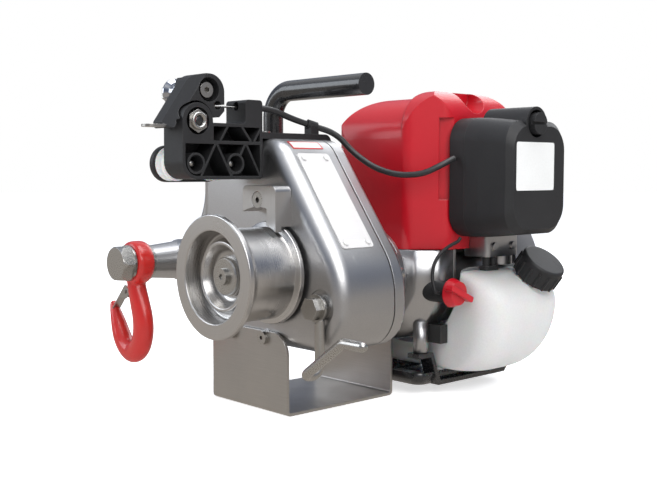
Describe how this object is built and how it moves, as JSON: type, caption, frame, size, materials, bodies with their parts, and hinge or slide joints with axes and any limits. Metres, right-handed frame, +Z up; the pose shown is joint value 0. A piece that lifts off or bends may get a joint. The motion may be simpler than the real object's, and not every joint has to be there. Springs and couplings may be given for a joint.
{
  "type": "capstan winch",
  "caption": "Portable petrol capstan winch: flanged rope drum on a cast gear housing, swivel hook, cam throttle, carrying handle and folded stand.",
  "frame": {"origin": "on the underside of the stand, below the drum axis and midway along the stand", "axes": "+Z up, +Y from the drum to the engine along the drum axis, +X to the operator's side with the fuel cap"},
  "size_m": [0.3234, 0.3795, 0.276],
  "materials": {
    "stainless": "brushed",
    "fastener": "zinc plated",
    "gear_steel": "ground and oiled",
    "turned_steel": "turned",
    "cast_aluminium": "satin, sand cast",
    "machined_aluminium": "machined",
    "plate_aluminium": "pale satin",
    "gasket": "matt",
    "red_paint": "gloss",
    "black_paint": "gloss",
    "black_moulding": "fine grained",
    "white_nylon": "satin",
    "chrome": "polished",
    "cable_sheath": "satin",
    "red_moulding": "gloss",
    "grey_moulding": "fine grained",
    "tank_plastic": "translucent satin",
    "rubber": "matt",
    "foam": "open foam",
    "muffler_steel": "heat resistant, matt",
    "starter_cord": "braided"
  },
  "bodies": {
    "frame": {"stand": "stainless", "socket_screws": "fastener", "front_housing": "cast_aluminium", "housing_gasket": "gasket", "rear_cover": "cast_aluminium", "bearing_plate": "machined_aluminium", "name_plate": "plate_aluminium", "hook_bolt": "fastener", "exit_guide": "machined_aluminium", "entry_guide": "fastener", "guide_bolts": "fastener", "guide_bracket": "black_moulding", "roller_plate": "black_moulding", "cam_pivot_bolt": "fastener", "throttle_cable": "cable_sheath", "top_strap": "black_moulding", "handle_tube": "black_paint", "handle_foot": "black_paint", "clutch_bell": "cast_aluminium", "fan_cover": "cast_aluminium", "engine_block": "cast_aluminium", "engine_shroud": "red_moulding", "muffler": "muffler_steel", "cleaner_base": "black_moulding", "cleaner_cover": "black_moulding", "filter_element": "foam", "carburettor": "cast_aluminium", "fuel_tank": "tank_plastic", "guard_rail": "black_paint", "tank_rubbers": "rubber", "switch_body": "black_moulding", "starter_cover": "grey_moulding", "starter_rope": "starter_cord"},
    "input_drum": {"clutch_drum": "gear_steel"},
    "lay_shaft_a": {"shaft_a": "gear_steel", "first_gear": "gear_steel"},
    "lay_shaft_b": {"shaft_b": "gear_steel", "second_gear": "gear_steel"},
    "drum": {"drum_shaft": "gear_steel", "output_gear": "gear_steel", "rope_drum": "turned_steel", "drum_cap": "fastener"},
    "crank": {"crankshaft": "gear_steel", "flywheel_fan": "cast_aluminium"},
    "right_shoe": {"clutch_shoe_right": "gear_steel"},
    "left_shoe": {"clutch_shoe_left": "gear_steel"},
    "hook": {"hook": "red_paint", "latch_pin": "fastener"},
    "latch": {"hook_latch": "fastener"},
    "front_roller": {"front_roller": "white_nylon"},
    "rear_roller": {"rear_roller": "white_nylon"},
    "cam": {"cam_lever": "black_moulding", "cam_bolt_and_tab": "fastener"},
    "spool": {"chrome_spool": "chrome"},
    "wire": {"throttle_wire": "fastener"},
    "knob": {"cleaner_knob": "black_moulding"},
    "cap": {"fuel_cap": "black_moulding"},
    "switch": {"switch_knob": "red_moulding"},
    "reel": {"starter_reel": "grey_moulding"},
    "grip": {"starter_grip": "black_moulding"}
  },
  "joints": [
    {"name": "input_spin", "type": "hinge", "parent": "frame", "child": "input_drum", "pos_m": [0.005, 0, 0.105], "axis": [0, 1, 0], "continuous": true},
    {"name": "shaft_a_spin", "type": "hinge", "parent": "frame", "child": "lay_shaft_a", "pos_m": [-0.03, 0, 0.15526], "axis": [0, 1, 0], "continuous": true},
    {"name": "shaft_b_spin", "type": "hinge", "parent": "frame", "child": "lay_shaft_b", "pos_m": [-0.05199, 0, 0.116], "axis": [0, 1, 0], "continuous": true},
    {"name": "drum_spin", "type": "hinge", "parent": "frame", "child": "drum", "pos_m": [0, 0, 0.115], "axis": [0, 1, 0], "continuous": true},
    {"name": "crank_spin", "type": "hinge", "parent": "frame", "child": "crank", "pos_m": [0.005, 0, 0.105], "axis": [0, 1, 0], "continuous": true},
    {"name": "right_shoe_slide", "type": "slide", "parent": "crank", "child": "right_shoe", "axis": [1, 0, 0], "range_m": [0, 0.0011], "stiffness_N_per_m": 4000, "springref_m": -0.001},
    {"name": "left_shoe_slide", "type": "slide", "parent": "crank", "child": "left_shoe", "axis": [-1, 0, 0], "range_m": [0, 0.0011], "stiffness_N_per_m": 4000, "springref_m": -0.001},
    {"name": "hook_swing", "type": "hinge", "parent": "frame", "child": "hook", "pos_m": [-0.15, 0, 0.115], "axis": [0, 1, 0], "continuous": true},
    {"name": "latch_pivot", "type": "hinge", "parent": "hook", "child": "latch", "pos_m": [-0.164, -0.093, 0.088], "axis": [0, 1, 0], "range_deg": [-35, 0], "stiffness_Nm_per_rad": 0.05, "springref_deg": 34.38},
    {"name": "front_roller_spin", "type": "hinge", "parent": "frame", "child": "front_roller", "pos_m": [-0.046, -0.122, 0.2023], "axis": [1, 0, 0], "continuous": true},
    {"name": "rear_roller_spin", "type": "hinge", "parent": "frame", "child": "rear_roller", "pos_m": [-0.046, -0.084, 0.2023], "axis": [1, 0, 0], "continuous": true},
    {"name": "cam_pivot", "type": "hinge", "parent": "frame", "child": "cam", "pos_m": [-0.03, -0.12, 0.235], "axis": [1, 0, 0], "range_deg": [0, 14], "stiffness_Nm_per_rad": 0.6, "springref_deg": -20.05},
    {"name": "spool_spin", "type": "hinge", "parent": "cam", "child": "spool", "pos_m": [-0.056, -0.108, 0.2595], "axis": [1, 0, 0], "continuous": true},
    {"name": "wire_pivot", "type": "hinge", "parent": "cam", "child": "wire", "pos_m": [-0.027, -0.1, 0.2477], "axis": [1, 0, 0], "range_deg": [-22, 0]},
    {"name": "knob_turn", "type": "hinge", "parent": "frame", "child": "knob", "pos_m": [0.1, 0.12484, 0.236], "axis": [1, 0, 0], "continuous": true},
    {"name": "cap_turn", "type": "hinge", "parent": "frame", "child": "cap", "pos_m": [0.092, 0.16, 0.098], "axis": [0.6157, 0, 0.788], "continuous": true},
    {"name": "switch_turn", "type": "hinge", "parent": "frame", "child": "switch", "pos_m": [0.074, 0.076, 0.094], "axis": [1, 0, 0], "range_deg": [0, 60]},
    {"name": "starter_pull", "type": "slide", "parent": "frame", "child": "grip", "axis": [0, 0, 1], "range_m": [0, 0.45], "stiffness_N_per_m": 25, "springref_m": -0.3, "deforming": ["starter_rope"]},
    {"name": "reel_spin", "type": "hinge", "parent": "frame", "child": "reel", "pos_m": [0.005, 0, 0.105], "axis": [0, 1, 0], "range_deg": [0, 760]}
  ],
  "couplings": [
    {"joint": "shaft_a_spin", "follows": "input_spin", "ratio": -0.16667},
    {"joint": "shaft_b_spin", "follows": "input_spin", "ratio": 0.041667},
    {"joint": "drum_spin", "follows": "input_spin", "ratio": -0.0125},
    {"joint": "wire_pivot", "follows": "cam_pivot", "ratio": -1.5},
    {"joint": "reel_spin", "follows": "starter_pull", "rad_per_m": 29.412}
  ]
}
